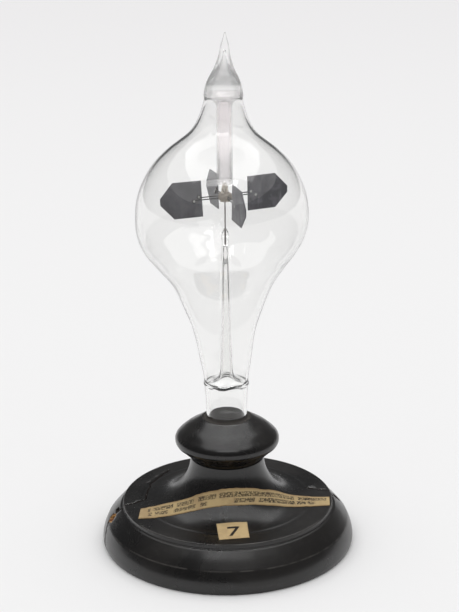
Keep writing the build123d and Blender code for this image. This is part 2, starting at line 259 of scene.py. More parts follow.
blackWood = {
    "ebony": (0.0048, 0.0044, 0.0043, 1),
    "worn": (0.0095, 0.0080, 0.0072, 1),
    "rubbed": (0.050, 0.046, 0.043, 1),
    "dust": (0.16, 0.155, 0.145, 1),
    "edges": ((48.8, 9.3, 0.45), (42.2, 17.2, 0.5), (9.6, 52.7, 0.5)),
    "polish": 0.24,
    "dulled": 0.38,
}


def ebonised(tree, coords):
    touch = useGroup(tree, handling, {"Scale": 26.0})
    dust = useGroup(tree, settledDust, {"Amount": 0.06, "Scale": 420.0})["Mask"]
    scratches = useGroup(tree, fineScratches, {"Density": 0.3})["Mask"]
    worn = None
    for radius, height, width in blackWood["edges"]:
        size = {"Radius": radius * mm, "Height": height * mm, "Width": width * mm}
        mask = useGroup(tree, turnedEdge, size)["Mask"]
        worn = mask if worn is None else maths(tree, "MAXIMUM", worn, mask)
    colour = blendColour(tree, touch["Sheen"], blackWood["ebony"], blackWood["worn"])
    colour = blendColour(tree, maths(tree, "MAXIMUM", worn, maths(tree, "MULTIPLY", scratches, 0.5)),
                         colour, blackWood["rubbed"])
    colour = blendColour(tree, dust, colour, blackWood["dust"])
    grain = cloud(tree, stretched(tree, coords, (1, 5, 5)), 260, 5, 0.6)
    rough = ramp(tree, touch["Sheen"], 0.0, 1.0, blackWood["polish"], blackWood["dulled"])
    rough = maths(tree, "ADD", rough, maths(tree, "MULTIPLY", dust, 0.35))
    rough = maths(tree, "ADD", rough, maths(tree, "MULTIPLY", scratches, 0.12))
    marks = maths(tree, "ADD", scratches, maths(tree, "MULTIPLY", touch["Bruises"], 1.5))
    relief = maths(tree, "SUBTRACT", maths(tree, "MULTIPLY", grain, 0.5), maths(tree, "MULTIPLY", marks, 0.4))
    return {"Base Color": colour, "Roughness": rough, "Normal": bump(tree, relief, 0.10, 0.0002)}


def bareWood(tree, coords):
    grain = cloud(tree, stretched(tree, coords, (1, 8, 8)), 300, 5, 0.65)
    stain = ramp(tree, cloud(tree, coords, 320, 4), 0.42, 0.60)
    colour = blendColour(tree, grain, (0.50, 0.27, 0.07, 1), (0.72, 0.47, 0.20, 1))
    colour = blendColour(tree, stain, colour, (0.16, 0.06, 0.02, 1))
    return {"Base Color": colour, "Normal": bump(tree, grain, 0.6, 0.0004)}


def splitWood(tree, coords):
    colour = blendColour(tree, cloud(tree, coords, 500, 3), (0.004, 0.003, 0.003, 1), (0.02, 0.012, 0.008, 1))
    return {"Base Color": colour}


def driedPlaster(tree, coords):
    stain = cloud(tree, coords, 400, 5, 0.6)
    dust = useGroup(tree, settledDust, {"Amount": 0.6, "Scale": 500.0})["Mask"]
    colour = blendColour(tree, stain, (0.012, 0.010, 0.009, 1), (0.050, 0.044, 0.038, 1))
    colour = blendColour(tree, ramp(tree, stain, 0.66, 0.74), colour, (0.30, 0.28, 0.24, 1))
    colour = blendColour(tree, maths(tree, "MULTIPLY", dust, 0.2), colour, (0.20, 0.19, 0.17, 1))
    return {"Base Color": colour, "Normal": bump(tree, stain, 0.5, 0.0003)}


glassLook = {
    "refraction": 1.47,
    # outline is the colour of the painted shade along the glass edge
    "outline": (0.030, 0.026, 0.034, 1),
    # Painted shade: a dark band is painted into the glass colour along its edge, where the real wall mirrors
    # and bends the dark room; it is thick on narrow glass and thin on wide glass, by the radius
    "narrow": 4.4,
    "wide": 5.6,
    "narrowEdgeShade": (0.48, 0.80),
    "wideEdgeShade": (0.73, 0.88),
    # Heights that end the glass inside the bulb, and that begin the drawn tip
    "insideBelow": (176, 180),
    "tipAbove": (181, 184),
}


def makeGlass(name, tint, ripple, depth, tipClear, tubeClear):
    # Blown glass: light and shadow pass straight through, the eye sees the refraction
    material = bpy.data.materials.new(name)
    material.use_nodes = True
    tree = material.node_tree
    skin = tree.nodes["Principled BSDF"]
    skin.inputs["Roughness"].default_value = 0.0
    skin.inputs["IOR"].default_value = glassLook["refraction"]
    skin.inputs["Transmission Weight"].default_value = 1.0
    coords = addNode(tree, "TexCoord").outputs["Object"]
    waves = cloud(tree, stretched(tree, coords, (1, 1, 0.45)), 70, 2, 0.4)
    tree.links.new(bump(tree, waves, ripple, 0.0006), skin.inputs["Normal"])
    path = addNode(tree, "LightPath").outputs
    # Painted shade: where the wall is seen edge on, a dark colour is painted into the base colour in place of
    # the dark room that the real glass mirrors and bends there
    place = addNode(tree, "SeparateXYZ", {0: coords}).outputs
    wide = ramp(tree, reachOf(tree, place["X"], place["Y"]), glassLook["narrow"] * mm, glassLook["wide"] * mm)
    facing = addNode(tree, "LayerWeight", {"Blend": 0.5}).outputs["Facing"]
    outline = zip(glassLook["narrowEdgeShade"], glassLook["wideEdgeShade"])
    edge = ramp(tree, facing, *[ramp(tree, wide, 0, 1, thick, thin) for thick, thin in outline])
    low, high = (height * mm for height in glassLook["insideBelow"])
    inside = maths(tree, "SUBTRACT", ramp(tree, place["Z"], low, high, 1.0, 0.0), wide, clamp=True)
    seen = maths(tree, "MAXIMUM", path["Is Camera Ray"], inside)
    # depth sets how strong the painted edge shade is, made uneven by a noise
    uneven = ramp(tree, cloud(tree, coords, 30, 2), 0.38, 0.58, 0.45 * depth, depth)
    paintedEdgeShade = maths(tree, "MULTIPLY", maths(tree, "MULTIPLY", edge, seen), uneven)
    tree.links.new(blendColour(tree, paintedEdgeShade, tint, glassLook["outline"]), skin.inputs["Base Color"])
    # The drawn tip and the guide tube are so thin that they hardly bend the light
    low, high = (height * mm for height in glassLook["tipAbove"])
    drawn = maths(tree, "MULTIPLY", ramp(tree, place["Z"], low, high), tipClear)
    unseen = maths(tree, "MAXIMUM", path["Is Shadow Ray"], path["Is Diffuse Ray"])
    through = maths(tree, "MAXIMUM", unseen, maths(tree, "MAXIMUM", drawn, tubeClear))
    clear = addNode(tree, "BsdfTransparent").outputs[0]
    both = addNode(tree, "MixShader", {0: through, 1: skin.outputs[0], 2: clear}).outputs[0]
    tree.links.new(both, tree.nodes["Material Output"].inputs["Surface"])
    return material


def darkAluminium(tree, coords):
    touch = useGroup(tree, handling, {"Scale": 150.0})
    scratches = useGroup(tree, fineScratches, {"Density": 0.6})["Mask"]
    rolled = cloud(tree, stretched(tree, coords, (3, 3, 0.5)), 500, 4, 0.6)
    colour = blendColour(tree, touch["Sheen"], (0.125, 0.123, 0.130, 1), (0.175, 0.172, 0.182, 1))
    colour = blendColour(tree, maths(tree, "MULTIPLY", scratches, 0.5), colour, (0.30, 0.30, 0.30, 1))
    rough = ramp(tree, rolled, 0.3, 0.7, 0.38, 0.55)
    return {"Base Color": colour, "Roughness": rough, "Normal": bump(tree, rolled, 0.2, 0.0001)}


def clearMica(tree, coords):
    # Split sheet: layers that lift in patches, with streaks along the cleavage. The pale streaks in the
    # colour are partly the sheet's own streaks and partly painted sheen, the gloss the vanes show when seen
    # edge on
    flakes = addNode(tree, "TexVoronoi", {"Vector": stretched(tree, coords, (1, 1, 0.55)), "Scale": 330.0})
    streaks = cloud(tree, stretched(tree, coords, (900, 900, 60)), 1.0, 4, 0.6)
    lifted = ramp(tree, cloud(tree, coords, 230, 4, 0.6), 0.45, 0.62)
    colour = blendColour(tree, lifted, (0.045, 0.043, 0.051, 1), (0.088, 0.085, 0.098, 1))
    # pale streaks: partly the sheet's own streaks, partly a painted sheen
    paleStreakAndSheen = maths(tree, "MULTIPLY", ramp(tree, streaks, 0.55, 0.75), 0.5)
    colour = blendColour(tree, paleStreakAndSheen, colour, (0.26, 0.26, 0.29, 1))
    relief = maths(tree, "ADD", maths(tree, "MULTIPLY", flakes.outputs["Distance"], 0.4), streaks)
    rough = ramp(tree, lifted, 0.0, 1.0, 0.30, 0.50)
    return {"Base Color": colour, "Roughness": rough, "Normal": bump(tree, relief, 0.30, 0.0002)}


def brightWire(tree, coords):
    drawn = cloud(tree, coords, 900, 4, 0.6)
    colour = blendColour(tree, drawn, (0.22, 0.22, 0.21, 1), (0.55, 0.55, 0.53, 1))
    rough = ramp(tree, drawn, 0.3, 0.7, 0.25, 0.5)
    return {"Base Color": colour, "Roughness": rough, "Normal": bump(tree, drawn, 0.3, 0.0001)}


def dullWire(tree, coords):
    drawn = cloud(tree, coords, 900, 4, 0.6)
    colour = blendColour(tree, drawn, (0.025, 0.024, 0.023, 1), (0.110, 0.105, 0.100, 1))
    rough = ramp(tree, drawn, 0.3, 0.7, 0.35, 0.6)
    return {"Base Color": colour, "Roughness": rough, "Normal": bump(tree, drawn, 0.3, 0.0001)}


def agedSteel(tree, coords):
    rust = ramp(tree, cloud(tree, stretched(tree, coords, (3, 3, 1)), 500, 4), 0.50, 0.70)
    colour = blendColour(tree, rust, (0.16, 0.15, 0.15, 1), (0.09, 0.05, 0.035, 1))
    rough = ramp(tree, rust, 0.0, 1.0, 0.30, 0.65)
    return {"Base Color": colour, "Roughness": rough}


def frostedCap(tree, coords):
    stain = cloud(tree, stretched(tree, coords, (1, 1, 0.6)), 700, 4, 0.6)
    colour = blendColour(tree, stain, (0.50, 0.43, 0.35, 1), (0.86, 0.82, 0.76, 1))
    rough = ramp(tree, stain, 0.3, 0.7, 0.12, 0.35)
    return {"Base Color": colour, "Roughness": rough, "Normal": bump(tree, stain, 0.3, 0.0002)}


def hubCement(tree, coords):
    lumps = cloud(tree, coords, 800, 5, 0.65)
    colour = blendColour(tree, lumps, (0.10, 0.085, 0.070, 1), (0.46, 0.41, 0.35, 1))
    return {"Base Color": colour, "Normal": bump(tree, lumps, 0.6, 0.0004)}


woodPolish = {"IOR": 1.5, "Coat Weight": 0.25, "Coat Roughness": 0.16}
woodMaterial = makeMaterial("ebonisedWood", woodPolish, ebonised)
armMaterial = makeMaterial("dullWire", {"Metallic": 0.8}, dullWire)
chipMaterial = makeMaterial("bareWood", {"Roughness": 0.75}, bareWood)
splitMaterial = makeMaterial("splitWood", {"Roughness": 0.9}, splitWood)
plasterMaterial = makeMaterial("driedPlaster", {"Roughness": 0.9}, driedPlaster)
# depth is the strength of the painted shade along the glass edge
glassMaterial = makeGlass("bulbGlass", (0.985, 0.985, 0.980, 1),
                          ripple=0.10, depth=1.0, tipClear=0.30, tubeClear=0.0)
tubeMaterial = makeGlass("tubeGlass", (0.93, 0.86, 0.88, 1),
                         ripple=0.05, depth=0.6, tipClear=0.0, tubeClear=0.62)
vaneMaterial = makeMaterial("darkAluminium", {"Metallic": 0.75}, darkAluminium)
micaMaterial = makeMaterial("clearMica", {"Coat Weight": 0.2, "Coat Roughness": 0.08, "IOR": 1.5}, clearMica)
wireMaterial = makeMaterial("brightWire", {"Metallic": 0.9}, brightWire)
needleMaterial = makeMaterial("agedSteel", {"Metallic": 0.85}, agedSteel)
capMaterial = makeMaterial("frostedCap", {"Transmission Weight": 0.55, "IOR": 1.5}, frostedCap)
cementMaterial = makeMaterial("hubCement", {"Roughness": 0.8}, hubCement)
print("finishes made:", len(bpy.data.materials))


# Outlines and turned shapes, in millimetres

sharpAngle = math.radians(50)


def smoothLine(knots, spacing, startWay=None, endWay=None):
    # A curve through the knots, with a direction at each end if one is given
    points = [Vector((*knot, 0)) if len(knot) == 2 else Vector(knot) for knot in knots]
    chords = [after - before for before, after in zip(points, points[1:])]
    ways = [Vector((*startWay, 0)).normalized() if startWay else chords[0].normalized()]
    for before, after in zip(chords, chords[1:]):
        reach = before.length + after.length
        ways.append((before.normalized() * after.length + after.normalized() * before.length) / reach)
    ways.append(Vector((*endWay, 0)).normalized() if endWay else chords[-1].normalized())
    line = [points[0]]
    for index, chord in enumerate(chords):
        third = chord.length / 3
        steps = max(2, round(chord.length / spacing))
        span = interpolate_bezier(points[index], points[index] + ways[index] * third,
                                  points[index + 1] - ways[index + 1] * third, points[index + 1], steps + 1)
        line += [Vector(point) for point in span[1:]]
    return [point[:len(knots[0])] for point in line]


def sweep(start, end, stages, spacing, startWay=(0, 1), endWay=(0, 1)):
    # The same, with its middle knots as shares of the way from start to end
    middle = [(start[0] + (end[0] - start[0]) * spread, start[1] + (end[1] - start[1]) * rise)
              for rise, spread in stages]
    return smoothLine([start, *middle, end], spacing, startWay, endWay)


def walled(line, wall):
    # The inner face of a wall whose outer face is the line, going up
    inner = []
    for index, (radius, height) in enumerate(line):
        before = Vector(line[max(index - 1, 0)])
        after = Vector(line[min(index + 1, len(line) - 1)])
        way = (after - before).normalized()
        inner.append((radius - wall * way.y, height + wall * way.x))
    return inner


def beadLine(radius, low, high, swell, steps=6):
    # A bead of fused glass, seen in section
    return [(radius + swell * math.sin(math.pi * step / steps), low + (high - low) * step / steps)
            for step in range(steps + 1)]


def spun(name, outline, steps):
    # Spins an outline of radius and height about the axis into a closed mesh
    bm = bmesh.new()
    points = [bm.verts.new((radius * mm, 0, height * mm)) for radius, height in outline]
    for before, after in zip(points, points[1:]):
        if (before.co - after.co).length > 1e-7:
            bm.edges.new((before, after))
    bmesh.ops.spin(bm, geom=bm.verts[:] + bm.edges[:], cent=(0, 0, 0), axis=(0, 0, 1),
                   angle=2 * math.pi, steps=steps, use_merge=True)
    bmesh.ops.remove_doubles(bm, verts=bm.verts[:], dist=2e-6)
    bmesh.ops.recalc_face_normals(bm, faces=bm.faces[:])
    return finishMesh(name, bm)


def finishMesh(name, bm):
    mesh = bpy.data.meshes.new(name)
    bm.to_mesh(mesh)
    bm.free()
    piece = bpy.data.objects.new(name, mesh)
    scene.collection.objects.link(piece)
    return piece


def settle(piece, material, smooth=True):
    # Makes the modifiers part of the mesh, and gives it its finish
    bpy.context.view_layer.update()
    finished = bpy.data.meshes.new_from_object(piece.evaluated_get(bpy.context.evaluated_depsgraph_get()))
    piece.modifiers.clear()
    piece.data = finished
    if not finished.materials:
        finished.materials.append(material)
    if smooth:
        finished.shade_smooth()
    return piece


def modify(piece, kind, **settings):
    modifier = piece.modifiers.new(kind.title(), kind)
    for label, value in settings.items():
        setattr(modifier, label, value)


def hold(piece, body, slotName, *replaced):
    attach(piece, body)
    if replaced:
        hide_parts(*replaced)


# The base, with its splits and chips

base = {
    "foot": (50.2, 0.0),
    "widest": (50.8, 1.9),
    "sideMiddle": (50.55, 4.6),
    "arris": (48.8, 9.3),
    "ovoloTop": (43.3, 15.3),
    "ovoloSwell": 0.1,
    "tableRadius": 42.4,
    "tableHeight": 17.3,
    "floorRings": (0, 30, 49.2),
    "tableRings": (41, 38, 33, 26, 14, 0),
    "edgeRound": 0.45,
    "spinSteps": 192,
    # Each split runs through stations of azimuth, radius and height
    "leftSplit": ((195.8, 50.5, 0.4), (193.6, 50.7, 3.2), (190.5, 49.8, 7.0), (187.6, 48.5, 9.6),
                  (187.2, 46.3, 12.4), (187.9, 43.6, 15.2), (189.1, 41.8, 17.3), (186.6, 37.0, 17.3),
                  (183.0, 33.5, 17.3), (174.0, 33.3, 17.3), (165.6, 33.4, 17.3), (157.0, 34.3, 17.3),
                  (144.8, 34.7, 17.3), (132.4, 36.6, 17.3)),
    "rightSplit": ((6.6, 45.0, 14.0), (7.3, 43.0, 15.6), (8.1, 41.9, 17.3), (9.7, 38.5, 17.3),
                   (12.2, 35.5, 17.3), (15.0, 32.9, 17.3)),
    "splitSpacing": 1.1,
    "splitWidth": 0.75,
    "splitDepth": 1.6,
    "splitWander": 0.495,
    "splitGrain": 420,
    # Each chip has an azimuth, radius and height, then its size and its lean
    "leftChip": (187.6, 47.4, 11.6, (2.8, 2.6, 1.9), 20),
    "leftStain": (185.6, 45.0, 14.1, (1.9, 2.0, 0.9), 10),
    "rightChip": (9.6, 46.2, 13.4, (3.8, 1.6, 1.9), 0),
}


def ringPlace(azimuth, radius, height):
    turn = math.radians(azimuth)
    return Vector((radius * math.cos(turn), radius * math.sin(turn), height)) * mm


def splitCutter(name, stations):
    # A thin blade that follows the split, wandering a little, and goes in square to the wood
    bm = bmesh.new()
    fine = smoothLine([tuple(ringPlace(*station)) for station in stations], base["splitSpacing"] * mm)
    outward = []
    verts = []
    for point in fine:
        place = Vector(point)
        place += base["splitWander"] * mm * noise.noise_vector(place * base["splitGrain"])
        climb = min(max((place.z / mm - base["arris"][1]) / (base["tableHeight"] - base["arris"][1]), 0), 1)
        way = (Vector((place.x, place.y, 0)).normalized() * (1 - climb) + Vector((0, 0, climb))).normalized()
        outward.append(way)
        verts.append(bm.verts.new(place + way * mm))
    for before, after in zip(verts, verts[1:]):
        bm.edges.new((before, after))
    extruded = bmesh.ops.extrude_edge_only(bm, edges=bm.edges[:])["geom"]
    lower = [item for item in extruded if isinstance(item, bmesh.types.BMVert)]
    for vert in lower:
        nearest = min(range(len(verts)), key=lambda index: (verts[index].co - vert.co).length)
        vert.co -= outward[nearest] * (1 + base["splitDepth"]) * mm
    bmesh.ops.recalc_face_normals(bm, faces=bm.faces[:])
    blade = finishMesh(name, bm)
    blade.data.materials.append(splitMaterial)
    modify(blade, "SOLIDIFY", thickness=base["splitWidth"] * mm, offset=0)
    return settle(blade, splitMaterial, smooth=False)


def chipCutter(name, azimuth, radius, height, size, lean, material):
    # A rough lump that breaks a piece out of an edge
    bm = bmesh.new()
    bmesh.ops.create_icosphere(bm, subdivisions=4, radius=1.0)
    for vert in bm.verts:
        vert.co *= 1 + 0.35 * noise.noise(vert.co * 1.7 + Vector((azimuth, radius, height)))
        vert.co *= 1 + 0.10 * noise.noise(vert.co * 6.0)
    turn = Matrix.Rotation(math.radians(azimuth), 4, "Z") @ Matrix.Rotation(math.radians(lean), 4, "X")
    shape = Matrix.Diagonal((*[edge * mm for edge in size], 1))
    bmesh.ops.transform(bm, matrix=Matrix.Translation(ringPlace(azimuth, radius, height)) @ turn @ shape,
                        verts=bm.verts[:])
    lump = finishMesh(name, bm)
    lump.data.materials.append(material)
    return lump


def carve(piece, cutters):
    for cutter in cutters:
        modify(piece, "BOOLEAN", operation="DIFFERENCE", solver="MANIFOLD", object=cutter,
               material_mode="TRANSFER")
    modify(piece, "WEIGHTED_NORMAL", keep_sharp=True)
    settle(piece, woodMaterial)
    piece.data.set_sharp_from_angle(angle=sharpAngle)


def makeBase(splits):
    arris, top = Vector(base["arris"]), Vector(base["ovoloTop"])
    table, height = base["tableRadius"], base["tableHeight"]
    middle = (arris + top) / 2 + Vector((base["ovoloSwell"], base["ovoloSwell"]))
    knots = [base[part] for part in ("foot", "widest", "sideMiddle", "arris")]
    side = smoothLine(knots, 0.8, (0.6, 1), (-0.46, 1))
    ovolo = smoothLine([base["arris"], tuple(middle), base["ovoloTop"]], 0.8)
    outline = [(radius, 0) for radius in base["floorRings"]]
    outline += [*side, *ovolo[1:], (table, base["ovoloTop"][1]), (table, height)]
    outline += [(radius, height) for radius in base["tableRings"]]
    piece = spun("turnedBase", outline, base["spinSteps"])
    piece.data.materials.append(woodMaterial)
    modify(piece, "BEVEL", width=base["edgeRound"] * mm, segments=3, limit_method="ANGLE",
           angle_limit=math.radians(24))
    settle(piece, woodMaterial)
    chips = [
        chipCutter("leftChipCutter", *base["leftChip"], chipMaterial),
        chipCutter("leftStainCutter", *base["leftStain"], splitMaterial),
        chipCutter("rightChipCutter", *base["rightChip"], splitMaterial),
    ]
    carve(piece, splits + chips)
    for chip in chips:
        bpy.data.objects.remove(chip)
    hold(piece, standBody, "black_wood", "base_disc")


# The pedestal and the knob

pedestal = {
    "footRadius": 33.0,
    "neckRadius": 14.7,
    "sweepRise": 18.95,
    "top": 36.5,
    "feather": 1.6,
    "sunk": 0.1,
    "featherSteps": 6,
    "sweepSteps": 40,
    "spinSteps": 160,
}

knob = {
    "seat": (14.7, 36.5),
    "underMiddle": (17.2, 39.0),
    "rim": (20.2, 41.7),
    "edgeMiddle": (20.72, 42.7),
    "widest": (20.8, 44.3),
    "mouth": (9.7, 52.8),
    "lipRound": (0.28, 0.04),
    "lipDrop": 0.42,
    "shoulder": ((0.19, 0.083), (0.356, 0.22), (0.522, 0.376), (0.70, 0.595)),
    "mouthRadius": 9.4,
    "socketFloor": 43.7,
    "spinSteps": 160,
}


def standTop(radius):
    # Height of the wood under a label: the table, or the sweep that rises from it
    foot, table = pedestal["footRadius"], base["tableHeight"]
    lip = pedestal["top"] - pedestal["sweepRise"] - table
    if radius > foot:
        fade = min((radius - foot) / pedestal["feather"], 1)
        return table + lip * (1 - fade) ** 2
    share = (foot - radius) / (foot - pedestal["neckRadius"])
    return pedestal["top"] - pedestal["sweepRise"] * math.sqrt(max(1 - share * share, 0))


def makePedestal(splits):
    foot, neck, feather = pedestal["footRadius"], pedestal["neckRadius"], pedestal["feather"]
    low = base["tableHeight"] - pedestal["sunk"]
    sweepLine = [(foot + feather, low)]
    for step in range(pedestal["featherSteps"]):
        radius = foot + feather * (1 - step / pedestal["featherSteps"])
        sweepLine.append((radius, standTop(radius)))
    for step in range(pedestal["sweepSteps"] + 1):
        turn = math.pi / 2 * step / pedestal["sweepSteps"]
        radius = foot - (foot - neck) * math.sin(turn)
        sweepLine.append((radius, pedestal["top"] - pedestal["sweepRise"] * math.cos(turn)))
    outline = [(0, low), *sweepLine, (0, pedestal["top"])]
    piece = settle(spun("turnedPedestal", outline, pedestal["spinSteps"]), woodMaterial)
    carve(piece, splits)
    hold(piece, standBody, "black_wood", "pedestal")


def makeKnob():
    seat, rim, widest, mouth = (knob[part] for part in ("seat", "rim", "widest", "mouth"))
    under = smoothLine([seat, knob["underMiddle"], rim], 0.7, (0.25, 1), (1, 0.75))
    edge = smoothLine([rim, knob["edgeMiddle"], widest], 0.4, (0.75, 1), (0, 1))
    shoulder = sweep(widest, mouth, knob["shoulder"], 0.8, (0, 1), (-1, 0.47))
    lip = [(mouth[0] - knob["lipRound"][0], mouth[1] - knob["lipRound"][1]),
           (knob["mouthRadius"], mouth[1] - knob["lipDrop"])]
    inside = [(knob["mouthRadius"], knob["socketFloor"]), (0, knob["socketFloor"])]
    outline = [(0, seat[1]), *under, *edge[1:], *shoulder[1:], *lip, *inside]
    piece = spun("turnedKnob", outline, knob["spinSteps"])
    settle(piece, woodMaterial)
    piece.data.set_sharp_from_angle(angle=sharpAngle)
    hold(piece, standBody, "black_wood", "socket_knob")


# Glass

glass = {
    "neckFoot": (8.1, 44.1),
    "neckBend": 55.8,
    "neckMiddle": (8.295, 61.15),
    "neckTop": 8.75,
    "neckWall": 1.2,
    "lowerSeal": (66.5, 68.0),
    "lowerBead": 0.25,
    "widest": (33.24, 135.3),
    "lowerBulb": ((0.149, 0.060), (0.327, 0.148), (0.461, 0.276), (0.594, 0.428), (0.728, 0.690),
                  (0.817, 0.867), (0.906, 0.969)),
    "upperBulb": ((0.188, 0.041), (0.318, 0.131), (0.448, 0.276), (0.578, 0.509), (0.643, 0.659),
                  (0.708, 0.793), (0.773, 0.875), (0.885, 0.955)),
    "bulbWall": 0.9,
    "upperSeal": (181.5, 182.5),
    "upperSealRadius": 7.3,
    "upperBead": 0.15,
    "tip": (0.3, 205.2),
    "tipEnd": (0.18, 205.44),
    "tipTop": 205.5,
    "tipSide": ((0.154, 0.083), (0.286, 0.256), (0.396, 0.457), (0.529, 0.623), (0.661, 0.746),
                (0.793, 0.816), (0.925, 0.934)),
    "cavity": (0.4, 198.6),
    "cavityEnd": (0.22, 198.9),
    "cavityTop": 199.0,
    "cavitySide": ((0.217, 0.058), (0.404, 0.417), (0.559, 0.70), (0.714, 0.867)),
    # How far the hand-blown bulb stands out of true, by height
    "wander": ((40, 0.0), (66, -0.1), (105, -1.0), (121, -2.0), (137, -1.2), (160, -0.9), (182, -0.25),
               (206, 0.5)),
    "spinSteps": 160,
}


def wanderAt(height):
    stations = glass["wander"]
    for (low, before), (high, after) in zip(stations, stations[1:]):
        if low <= height <= high:
            share = (height - low) / (high - low)
            return before + (after - before) * share * share * (3 - 2 * share)
    return 0.0


def bendByHand(piece):
    for vert in piece.data.vertices:
        vert.co.x += wanderAt(vert.co.z / mm) * mm


def makeBulb():
    sealLow, sealHigh = glass["lowerSeal"]
    upperLow, upperHigh = glass["upperSeal"]
    foot, neckTop = glass["neckFoot"], (glass["neckTop"], sealLow)
    sealRadius = glass["upperSealRadius"]
    knots = [(foot[0], glass["neckBend"]), glass["neckMiddle"], neckTop]
    neck = [foot, *smoothLine(knots, 1.5, (0, 1), (0.12, 1))]
    lower = sweep((glass["neckTop"], sealHigh), glass["widest"], glass["lowerBulb"], 1.3)
    upper = sweep(glass["widest"], (sealRadius, upperLow), glass["upperBulb"], 1.3)
    tipSide = sweep((sealRadius, upperHigh), glass["tip"], glass["tipSide"], 0.6, (0, 1), (-0.3, 1))
    cavitySide = sweep((sealRadius - glass["bulbWall"], upperHigh), glass["cavity"], glass["cavitySide"], 0.6,
                       (0, 1), (-0.05, 1))
    lowerSeal = beadLine(glass["neckTop"], sealLow, sealHigh, glass["lowerBead"])[1:-1]
    upperSeal = beadLine(sealRadius, upperLow, upperHigh, glass["upperBead"])[1:-1]
    outside = [*neck, *lowerSeal, *lower, *upper[1:], *upperSeal, *tipSide]
    outside += [glass["tipEnd"], (0, glass["tipTop"])]
    bulbInside = walled(lower + upper[1:], glass["bulbWall"])
    neckInside = [(radius - glass["neckWall"], height) for radius, height in neck]
    inside = [*neckInside, *bulbInside, *cavitySide, glass["cavityEnd"], (0, glass["cavityTop"])]
    piece = spun("bulbGlass", [*reversed(inside), *outside], glass["spinSteps"])
    bendByHand(piece)
    settle(piece, glassMaterial)
    hold(piece, standBody, "clear_glass", "bulb_envelope", "neck_tube", "seal_tip")


guideTube = {
    "mouth": 148.2,
    "radius": 3.1,
    "wall": 0.5,
    "rimRound": 0.15,
    "middle": 165.0,
    "flareFrom": 177.0,
    "outerFlare": (3.7, 179.9),
    "innerFlare": (2.9, 180.6),
    "reach": 6.35,
    "seal": (181.5, 182.4),
    "spinSteps": 72,
}


def makeGuideTube():
    radius, bore = guideTube["radius"], guideTube["radius"] - guideTube["wall"]
    mouth, bend, reach = guideTube["mouth"], guideTube["flareFrom"], guideTube["reach"]
    sealLow, sealHigh = guideTube["seal"]
    curve, middle = guideTube["rimRound"], guideTube["middle"]
    outer = smoothLine([(radius, bend), guideTube["outerFlare"], (reach, sealLow)], 0.5, (0, 1), (1, 0.1))
    inner = smoothLine([(bore, bend), guideTube["innerFlare"], (reach, sealHigh)], 0.5, (0, 1), (1, 0.1))
    rim = [(bore, mouth + curve), (bore + curve, mouth), (radius - curve, mouth), (radius, mouth + curve)]
    outline = [*reversed(inner), (bore, middle), *rim, (radius, middle), *outer]
    piece = spun("guideTube", outline + [outline[0]], guideTube["spinSteps"])
    settle(piece, tubeMaterial)
    hold(piece, standBody, "clear_glass", "guide_tube")


stem = {
    "reach": 7.5,
    "foot": (66.6, 67.9),
    "flareBend": (4.03, 69.2),
    "shankFoot": (2.3, 74.0),
    "shankMiddle": (1.66, 94.85),
    "knuckleLow": (1.3, 115.7),
    "knuckle": (1.55, 118.7),
    "knuckleHigh": (1.3, 121.7),
    "beadFoot": (1.3, 124.8),
    "bead": (1.45, 127.7),
    "beadHead": (0.42, 130.6),
    "headTop": 130.65,
    "hollowCap": ((0, 123.9), (0.35, 123.75), (0.6, 123.3)),
    "hollowFoot": (1.6, 74.0),
    "hollowBend": (3.34, 68.2),
    "ripple": 0.55,
    "rippleFrom": 4.5,
    "rippleReach": 3,
    "spinSteps": 72,
}


def makeStem():
    low, high = stem["foot"]
    flare = smoothLine([(stem["reach"], high), stem["flareBend"], stem["shankFoot"]], 0.5,
                       (-1, 0.02), (-0.05, 1))
    shank = smoothLine([stem["shankFoot"], stem["shankMiddle"], stem["knuckleLow"]], 2.0, (-0.05, 1), (0, 1))
    knuckle = smoothLine([stem["knuckleLow"], stem["knuckle"], stem["knuckleHigh"]], 0.6, (0, 1), (0, 1))
    bead = smoothLine([stem["beadFoot"], stem["bead"], stem["beadHead"]], 0.5, (0, 1), (-0.5, 1))
    inside = smoothLine([stem["hollowFoot"], stem["hollowBend"], (stem["reach"], low)], 0.5,
                        (0.02, -1), (1, -0.02))
    outline = [*stem["hollowCap"], *inside, *flare, *shank[1:], *knuckle[1:], *bead, (0, stem["headTop"])]
    piece = spun("needleStem", outline, stem["spinSteps"])
    for vert in piece.data.vertices:
        radius = Vector((vert.co.x, vert.co.y)).length / mm
        outward = min(max((radius - stem["rippleFrom"]) / stem["rippleReach"], 0), 1)
        turn = math.atan2(vert.co.y, vert.co.x)
        wave = noise.noise(Vector((math.cos(turn) * 1.6, math.sin(turn) * 1.6, 3.0)))
        vert.co.z += outward * stem["ripple"] * wave * mm
    settle(piece, glassMaterial)
    hold(piece, standBody, "clear_glass", "needle_stem")


# Paper labels

labels = {
    "thickness": 0.15,
    "stripBack": ((-34.8, -10.3), (-27.6, -8.6), (-14.0, -13.4), (-3.0, -16.3), (4.8, -15.7), (13.2, -11.8),
                  (21.4, -4.6), (28.0, -1.2), (41.3, -0.7)),
    "stripFront": ((-35.3, -19.3), (-21.0, -18.3), (-11.4, -19.4), (-3.3, -20.2), (4.8, -19.7), (12.9, -17.2),
                   (21.1, -13.6), (30.0, -10.2), (41.0, -8.6)),
    "numberBack": ((-4.4, -26.9), (7.6, -25.8)),
    "numberFront": ((-3.3, -38.1), (8.4, -36.3)),
    "paper": (0.44, 0.315, 0.140, 1),
    "stain": (0.25, 0.15, 0.065, 1),
    "numberPaper": (0.51, 0.36, 0.165, 1),
    "ink": (0.016, 0.012, 0.009, 1),
    "stripGrid": (150, 12),
    "numberGrid": (24, 24),
    "stripWear": 0.10,
    "numberWear": 0.12,
    # The figure, as shares of the label's height
    "figureFoot": 0.22,
    "figureBar": 0.74,
    "figureTop": 0.78,
}


